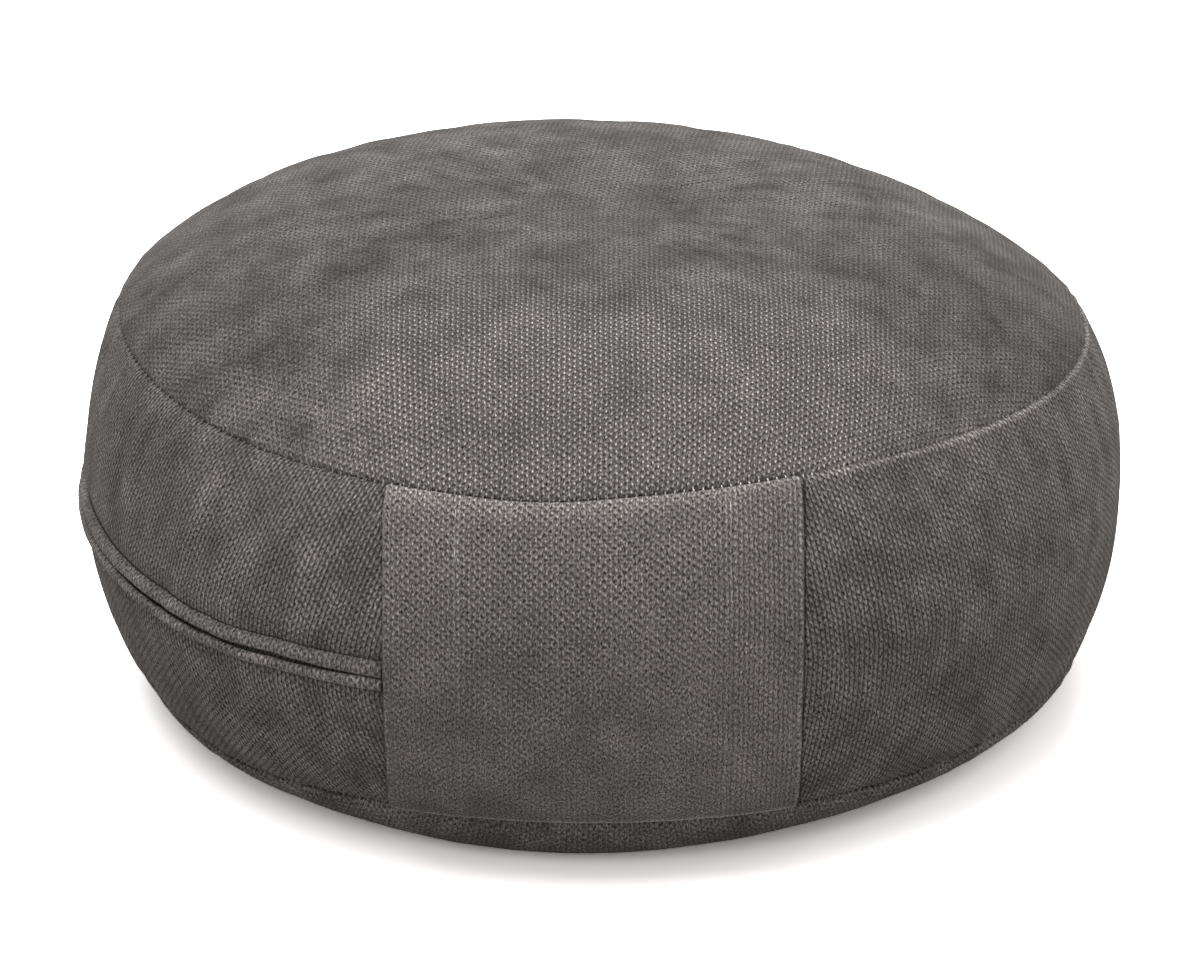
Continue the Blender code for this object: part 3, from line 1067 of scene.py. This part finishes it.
class Recipe:
    """A material and short ways to add its nodes."""

    def __init__(self, name):
        self.material = bpy.data.materials.new(name)
        self.material.use_nodes = True
        self.tree = self.material.node_tree
        self.shader = self.tree.nodes["Principled BSDF"]

    def give(self, node, inputs):
        """Links or sets a node's inputs, each given by its name or number."""
        for key, value in inputs.items():
            if isinstance(value, bpy.types.NodeSocket):
                self.tree.links.new(value, node.inputs[key])
            else:
                node.inputs[key].default_value = value
        return node

    def node(self, kind, inputs=(), **settings):
        node = self.tree.nodes.new("ShaderNode" + kind)
        for name, value in settings.items():
            setattr(node, name, value)
        return self.give(node, dict(inputs))

    def math(self, operation, *values):
        return self.node("Math", enumerate(values), operation=operation).outputs[0]

    def plus(self, a, b):
        return self.math("ADD", a, b)

    def minus(self, a, b):
        return self.math("SUBTRACT", a, b)

    def times(self, *values):
        total = values[0]
        for value in values[1:]:
            total = self.math("MULTIPLY", total, value)
        return total

    def over(self, a, b):
        return self.math("DIVIDE", a, b)

    def vector(self, operation, a, b):
        inputs = {0: a, 3 if operation == "SCALE" else 1: b}
        return self.node("VectorMath", inputs, operation=operation).outputs["Vector"]

    def remap(self, value, low, high, to_low, to_high, smooth=False):
        kind = "SMOOTHSTEP" if smooth else "LINEAR"
        values = enumerate((value, low, high, to_low, to_high))
        return self.node("MapRange", values, interpolation_type=kind).outputs["Result"]

    def noise(self, place, size, detail=2.0, rough=0.5, output="Fac"):
        """Cloudy values about 0.5, with patches of about this size."""
        inputs = {"Vector": place, "Scale": 1 / size, "Detail": detail, "Roughness": rough}
        return self.node("TexNoise", inputs).outputs[output]

    def turned(self, place, turn, stretch):
        """The place turned by an angle and stretched along its new Y."""
        inputs = {"Vector": place, "Rotation": (0, 0, turn), "Scale": (1, 1 / stretch, 1)}
        return self.node("Mapping", inputs).outputs[0]

    def parts(self, vector):
        """The X, Y and Z of a vector."""
        return self.node("SeparateXYZ", {0: vector}).outputs

    def value_of(self, name):
        return self.node("Attribute", attribute_name=name).outputs["Fac"]


WANDER, WANDER_SIZE = 0.9 * MM, 22 * MM  # how far the weave strays from straight, and over what
# In shares of a knot's cell: where its fleck's middle may be and the fleck's half sizes; then how
# far over the pits' cells lie, and a pit's middle and half sizes there
FLECK_ACROSS, FLECK_ALONG, FLECK_HALF = (-0.10, 0.06), (0.18, 0.28), (0.19, 0.25)
PIT_ASIDE, PIT_MIDDLE, PIT_HALF = 0.25, (0.0, -0.1), (0.43, 0.26)


def oval(r, across, along, middle, half):
    """1 in the middle of an oval of a knot's cell, and 0 outside it."""
    x = r.over(r.minus(across, middle[0]), half[0])
    y = r.over(r.minus(along, middle[1]), half[1])
    reach = r.plus(r.times(x, x), r.times(y, y))
    return r.remap(reach, 0.3, 1, 1, 0, smooth=True)


def knot_cell(r, across, along):
    """The knot's column and row, and the place in its cell; odd columns are half a knot on."""
    column = r.math("FLOOR", across)
    a = r.minus(r.math("FRACT", across), 0.5)
    half_step = r.times(r.math("PINGPONG", column, 1.0), 0.5)
    leaning = r.times(a, r.value_of("lean"))
    along = r.minus(r.plus(along, half_step), leaning)
    return column, r.math("FLOOR", along), a, r.minus(r.math("FRACT", along), 0.5)


Knots = namedtuple("Knots", "flat groove fleck pit luck")


def weave(r):
    """The knots of the weave: each one's groove, its bright fleck, its pit and its luck."""
    flat = r.node("UVMap", uv_map="cloth").outputs["UV"]
    aside = r.noise(flat, WANDER_SIZE, detail=1.0, output="Color")
    wander = r.vector("SCALE", r.vector("SUBTRACT", aside, (0.5, 0.5, 0.5)), WANDER)
    place = r.parts(r.vector("ADD", flat, wander))
    across = r.over(place["X"], COLUMN_PITCH)
    along = r.over(place["Y"], KNOT_PITCH)
    column, row, a, b = knot_cell(r, across, along)
    cell = r.node("CombineXYZ", {"X": column, "Y": row}).outputs[0]
    chance = r.node("TexWhiteNoise", {"Vector": cell}, noise_dimensions="2D")
    lucks = r.parts(chance.outputs["Color"])
    middle = r.remap(lucks["X"], 0, 1, *FLECK_ACROSS), r.remap(lucks["Y"], 0, 1, *FLECK_ALONG)
    groove = r.remap(r.math("ABSOLUTE", a), 0.22, 0.5, 0, 1, smooth=True)
    fleck = oval(r, a, b, middle, FLECK_HALF)
    _, _, pit_a, pit_b = knot_cell(r, r.plus(across, PIT_ASIDE), along)
    pit = oval(r, pit_a, pit_b, PIT_MIDDLE, PIT_HALF)
    return Knots(flat, groove, fleck, pit, lucks["Z"])


# A cloth's own colour, how much lighter its flecks are painted (partly the yarn's lighter knots,
# partly a painted glint), and how cloudy and streaky its nap is
Cloth = namedtuple("Cloth", "colour fleck_light cloudiness streakiness")
BODY_CLOTH_LOOK = Cloth((0.147, 0.1335, 0.126), 3.0, 0.42, 0.24)
HANDLE_CLOTH_LOOK = Cloth((0.155, 0.1405, 0.1325), 2.4, 0.18, 0.12)
# The sizes of the nap's patches, how much longer than wide some are, and how far it stands out
CLOUD_SIZE, BANK_SIZE, STREAK_SIZE, HAIR_SIZE, FUZZ_SIZE = np.array((16, 60, 7, 0.5, 0.8)) * MM
STREAK_STRETCH, HAIR_STRETCH = 2.2, 2.0
HAIR_TURN = math.radians(-40)
NAP_RELIEF = 0.22 * MM


def cloth_material(name, look):
    """Chenille-like cloth: knots in offset columns, hairy strokes over them and a cloudy nap, with
    painted glints, highlights and shade in its colour.
    """
    r = Recipe(name)
    knots = weave(r)
    spot = r.node("TexCoord").outputs["Object"]
    bare, opened, ribs, tone = (r.value_of(value) for value in ("bare", "open", "ribs", "tone"))
    clouds = r.noise(spot, CLOUD_SIZE, detail=5.0, rough=0.62)
    banks = r.noise(spot, BANK_SIZE)
    streaks = r.noise(r.turned(knots.flat, 0, STREAK_STRETCH), STREAK_SIZE, detail=3.0, rough=0.6)
    hairs = r.noise(r.turned(knots.flat, HAIR_TURN, HAIR_STRETCH), HAIR_SIZE, rough=0.6)
    fuzz = r.noise(knots.flat, FUZZ_SIZE)
    wear_and_highlight = r.remap(clouds, 0.35, 0.65, 0.75, 1.15)
    deep = r.remap(knots.luck, 0, 1, 1.3, 0.7)
    # The weave's gaps, grooves, hairs and fuzz, times the painted light and shade laid over the
    # whole surface
    light = r.times(
        r.minus(1.0, r.times(knots.pit, opened, wear_and_highlight, deep)),
        r.minus(1.0, r.times(knots.groove, ribs)),
        r.remap(hairs, 0.32, 0.68, 0.12, 1.88),
        r.remap(fuzz, 0.3, 0.7, 0.65, 1.35),
        tone,
    )
    # Flecks: the yarn's lighter knots, brightened further as a painted glint by each place's glint
    # strength
    shine = r.remap(knots.luck, 0, 1, 0.45, 1.0)
    light = r.plus(light, r.times(knots.fleck, shine, bare, look.fleck_light))
    calm = r.times(r.remap(bare, 0.1, 1, 1, 0.4), r.remap(ribs, 0.15, 0.6, 1.15, 0.75))
    cloudy = r.times(r.remap(clouds, 0.32, 0.68, -look.cloudiness, look.cloudiness), calm)
    streaky = r.remap(ribs, 0.15, 0.5, 0.4 * look.streakiness, look.streakiness)
    streaky = r.times(r.remap(streaks, 0.3, 0.7, -1, 1), streaky)
    ragged = r.times(r.minus(fuzz, 0.5), 1.8)
    # Painted shade in the seams' cracks, under the lower lip, at the handle's ends and beside its
    # long edges
    crease_shade = r.math("MAXIMUM", r.value_of("crease_shade"), handle_shadow(r, spot))
    light = r.times(
        light,
        r.plus(cloudy, 1.0),
        r.remap(banks, 0.3, 0.7, 0.92, 1.08),
        r.plus(streaky, 1.0),
        # Darker for the painted shade, and lighter for the painted highlights
        r.remap(r.plus(crease_shade, ragged), 0.35, 1, 1, 0.3, smooth=True),
        r.plus(r.times(r.value_of("rim_highlight"), 0.35), 1.0),
    )
    height = r.minus(r.minus(r.times(hairs, 0.5), knots.pit), r.times(knots.groove, 0.6))
    bump = r.node("Bump", {"Strength": 0.9, "Distance": NAP_RELIEF, "Height": height})
    surface = {
        "Base Color": r.vector("SCALE", look.colour, light),
        "Roughness": r.remap(knots.fleck, 0, 1, 0.9, 0.6),
        "Specular IOR Level": 0.2,
        "Sheen Weight": 0.08,
        "Sheen Roughness": 0.45,
        "Sheen Tint": (0.8, 0.76, 0.73, 1),
        "Normal": bump.outputs["Normal"],
    }
    r.give(r.shader, surface)
    return r.material


HANDLE_SHADOW_WIDTH = 1.1 * MM
HANDLE_SHADOW_AWAY = 0.8 * MM  # from the handle's edge, whose fold overhangs it
HANDLE_SHADOWS = ((-1, 0.6), (1, 1.1))  # side, and how dark
HANDLE_SHADOW_BEFORE = -50 * MM  # this Y, so not at the back


def handle_shadow(r, spot):
    """Painted shadow on the side band along each long edge of the handle."""
    place = r.parts(spot)
    darkest = 0.0
    for side, strength in HANDLE_SHADOWS:
        edge = HANDLE_MIDDLE + side * (HANDLE_WIDTH / 2 + HANDLE_SHADOW_AWAY)
        away = r.over(r.minus(place["X"], edge), HANDLE_SHADOW_WIDTH)
        near = r.remap(r.math("ABSOLUTE", away), 0, 1, strength, 0, smooth=True)
        darkest = r.math("MAXIMUM", darkest, near)
    front = r.math("LESS_THAN", place["Y"], HANDLE_SHADOW_BEFORE)
    return r.times(darkest, front, r.value_of("beside"))


THREAD_COLOUR = (0.9, 0.88, 0.85)


def thread_material():
    r = Recipe("sewing_thread")
    # The thread's colour rises from dim to light with its shine, a painted highlight
    light = r.remap(r.value_of("shine"), 0, 1, 0.08, 1.0)
    r.give(r.shader, {"Base Color": r.vector("SCALE", THREAD_COLOUR, light), "Roughness": 0.45})
    return r.material


def finish_piece(piece, material, stands_for=None):
    piece.data.materials.clear()
    piece.data.materials.append(material)
    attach(piece, "root")
    if stands_for:
        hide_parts(stands_for)
    return piece


# ---- Making the pieces ----

body_cloth = cloth_material("taupe_weave", BODY_CLOTH_LOOK)
handle_cloth = cloth_material("taupe_weave_handle", HANDLE_CLOTH_LOOK)
thread = thread_material()

cover = finish_piece(build_body(), body_cloth, "cushion")
handle = finish_piece(build_handle(), handle_cloth, "handle")
flap = finish_piece(build_lip("placket_flap", FLAP, 21), body_cloth, "zip_flap")
welt = finish_piece(build_lip("placket_welt", WELT, 22), body_cloth, "zip_welt")
finish_piece(build_stitches("handle_stitches", handle_stitches()), thread)
top_stitches = seam_stitches(TOP_SEAM, TOP_SEAM_RISE, top_shine, top_sink)
finish_piece(build_stitches("top_seam_stitches", top_stitches), thread)
bottom_stitches = seam_stitches(
    BOTTOM_SEAM, BOTTOM_SEAM_RISE, lambda _: PLAIN_SHINE, lambda _: SEAM_STITCH_SINK
)
finish_piece(build_stitches("bottom_seam_stitches", bottom_stitches), thread)


# ---- Camera, light and floor ----

CAMERA_TARGET = Vector((0.0006, 0, 0.0595))
CAMERA_DISTANCE = 1.6
CAMERA_RISE = 0.433  # radians above the horizon
CAMERA_LENS = 150


def aimed(name, data, place, target):
    """A camera or a light at a place, turned to its target."""
    item = new_object(name, data)
    item.location = place
    item.rotation_mode = "QUATERNION"
    item.rotation_quaternion = (Vector(target) - Vector(place)).to_track_quat("-Z", "Y")
    return item


def build_camera():
    back = Vector((0, -math.cos(CAMERA_RISE), math.sin(CAMERA_RISE)))
    data = bpy.data.cameras.new("camera")
    data.lens = CAMERA_LENS
    data.sensor_width = 36
    place = CAMERA_TARGET + CAMERA_DISTANCE * back
    bpy.context.scene.camera = aimed("camera", data, place, CAMERA_TARGET)


Softbox = namedtuple("Softbox", "place size power")
SOFTBOXES = {
    "overhead": Softbox((-0.25, 0, 1.5), (1.2, 1.2), 16),
    "behind": Softbox((0, 1.1, 1.0), (1.2, 1.0), 14),
    "front": Softbox((0, -1.5, 0.45), (1.0, 0.6), 3),
    "left": Softbox((-1.4, -0.5, 0.8), (0.8, 0.8), 1.2),
    "right": Softbox((1.4, 0.5, 0.6), (0.8, 0.8), 5),
}
LIT_POINT = (0, 0, 0.08)
WORLD_LIGHT = 0.56
FLOOR_BOUNCE = 0.42
FLOOR_WHITE = 2.2  # over-exposed, so that only the contact shadow shows
FLOOR_TINT = (1.0, 0.975, 0.97)


def build_softbox(name, box):
    data = bpy.data.lights.new(name, "AREA")
    data.shape = "RECTANGLE"
    data.size, data.size_y = box.size
    data.energy = box.power
    aimed(name, data, box.place, LIT_POINT)


def build_floor():
    """White paper, which throws only part of its light back on the cloth."""
    bpy.ops.mesh.primitive_plane_add(size=12)
    floor = bpy.context.object
    floor.name = "floor"
    paper = Recipe("white_paper")
    seen = paper.node("LightPath").outputs["Is Camera Ray"]
    shade = paper.remap(seen, 0, 1, FLOOR_BOUNCE, FLOOR_WHITE)
    matt = paper.node("BsdfDiffuse", {"Color": paper.vector("SCALE", FLOOR_TINT, shade)})
    paper.give(paper.tree.nodes["Material Output"], {"Surface": matt.outputs[0]})
    floor.data.materials.append(paper.material)


def build_studio():
    scene = bpy.context.scene
    scene.view_settings.view_transform = "Standard"
    world = bpy.data.worlds.new("studio")
    scene.world = world
    world.use_nodes = True
    sky = world.node_tree.nodes["Background"]
    sky.inputs["Color"].default_value = (1, 1, 1, 1)
    sky.inputs["Strength"].default_value = WORLD_LIGHT
    for name, box in SOFTBOXES.items():
        build_softbox(name, box)
    build_floor()


build_camera()
build_studio()
